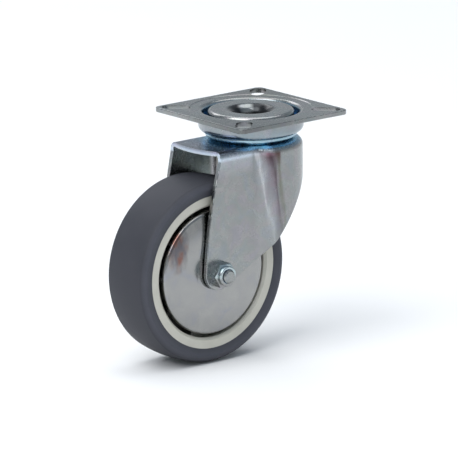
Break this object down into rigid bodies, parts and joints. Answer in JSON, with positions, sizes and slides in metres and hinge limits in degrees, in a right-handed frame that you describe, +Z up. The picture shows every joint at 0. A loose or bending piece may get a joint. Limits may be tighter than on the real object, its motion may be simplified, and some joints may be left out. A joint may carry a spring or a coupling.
{
  "type": "swivel plate caster",
  "caption": "Swivel caster with a square slotted top plate, a ball-bearing swivel head, a pressed steel fork and a soft-tread wheel.",
  "frame": {"origin": "on the swivel axis, level with the top face of the mounting plate", "axes": "+Z up, out of the plate's top face; +X forward, away from the side the wheel trails on; Y along the wheel's axle, with the lock nut at -Y"},
  "size_m": [0.1016, 0.06, 0.1057],
  "materials": {
    "zinc": "zinc plated, satin",
    "polished_zinc": "bright zinc plated, polished",
    "bearing_steel": "ground and polished",
    "tread": "satin thermoplastic rubber",
    "centre_plastic": "moulded polypropylene, satin",
    "nylon": "moulded nylon"
  },
  "bodies": {
    "plate": {"top_plate": "zinc"},
    "fork": {"fork": "zinc", "kingpin_cap": "zinc", "lower_race_cup": "zinc", "axle_bolt": "zinc", "axle_nut": "zinc", "nut_insert": "nylon", "axle_tube": "zinc", "bearing_spacer": "zinc", "thread_guard_right": "polished_zinc", "thread_guard_left": "polished_zinc", "bearing_collar_right": "zinc", "bearing_collar_left": "zinc", "bearing_right_inner_ring": "bearing_steel", "bearing_left_inner_ring": "bearing_steel"},
    "wheel": {"tyre": "tread", "wheel_centre": "centre_plastic", "bearing_right_outer_ring": "bearing_steel", "bearing_left_outer_ring": "bearing_steel", "bearing_right_shields": "bearing_steel", "bearing_left_shields": "bearing_steel"},
    "upper_ball_ring": {"upper_balls": "bearing_steel"},
    "lower_ball_ring": {"lower_balls": "bearing_steel"},
    "bearing_right_ball_set": {"bearing_right_balls": "bearing_steel", "bearing_right_cage": "nylon"},
    "bearing_left_ball_set": {"bearing_left_balls": "bearing_steel", "bearing_left_cage": "nylon"}
  },
  "joints": [
    {"name": "swivel", "type": "hinge", "parent": "plate", "child": "fork", "pos_m": [0, 0, 0], "axis": [0, 0, 1], "continuous": true},
    {"name": "wheel_spin", "type": "hinge", "parent": "fork", "child": "wheel", "pos_m": [-0.0312, 0, -0.0653], "axis": [0, 1, 0], "continuous": true},
    {"name": "upper_ball_roll", "type": "hinge", "parent": "plate", "child": "upper_ball_ring", "pos_m": [0, 0, -0.004], "axis": [0, 0, 1], "continuous": true},
    {"name": "lower_ball_roll", "type": "hinge", "parent": "plate", "child": "lower_ball_ring", "pos_m": [0, 0, -0.0096], "axis": [0, 0, 1], "continuous": true},
    {"name": "bearing_right_roll", "type": "hinge", "parent": "fork", "child": "bearing_right_ball_set", "pos_m": [-0.0312, 0, -0.0653], "axis": [0, 1, 0], "continuous": true},
    {"name": "bearing_left_roll", "type": "hinge", "parent": "fork", "child": "bearing_left_ball_set", "pos_m": [-0.0312, 0, -0.0653], "axis": [0, 1, 0], "continuous": true}
  ],
  "couplings": [
    {"joint": "upper_ball_roll", "follows": "swivel", "ratio": 0.5},
    {"joint": "lower_ball_roll", "follows": "swivel", "ratio": 0.5},
    {"joint": "bearing_right_roll", "follows": "wheel_spin", "ratio": 0.6323},
    {"joint": "bearing_left_roll", "follows": "wheel_spin", "ratio": 0.6323}
  ]
}
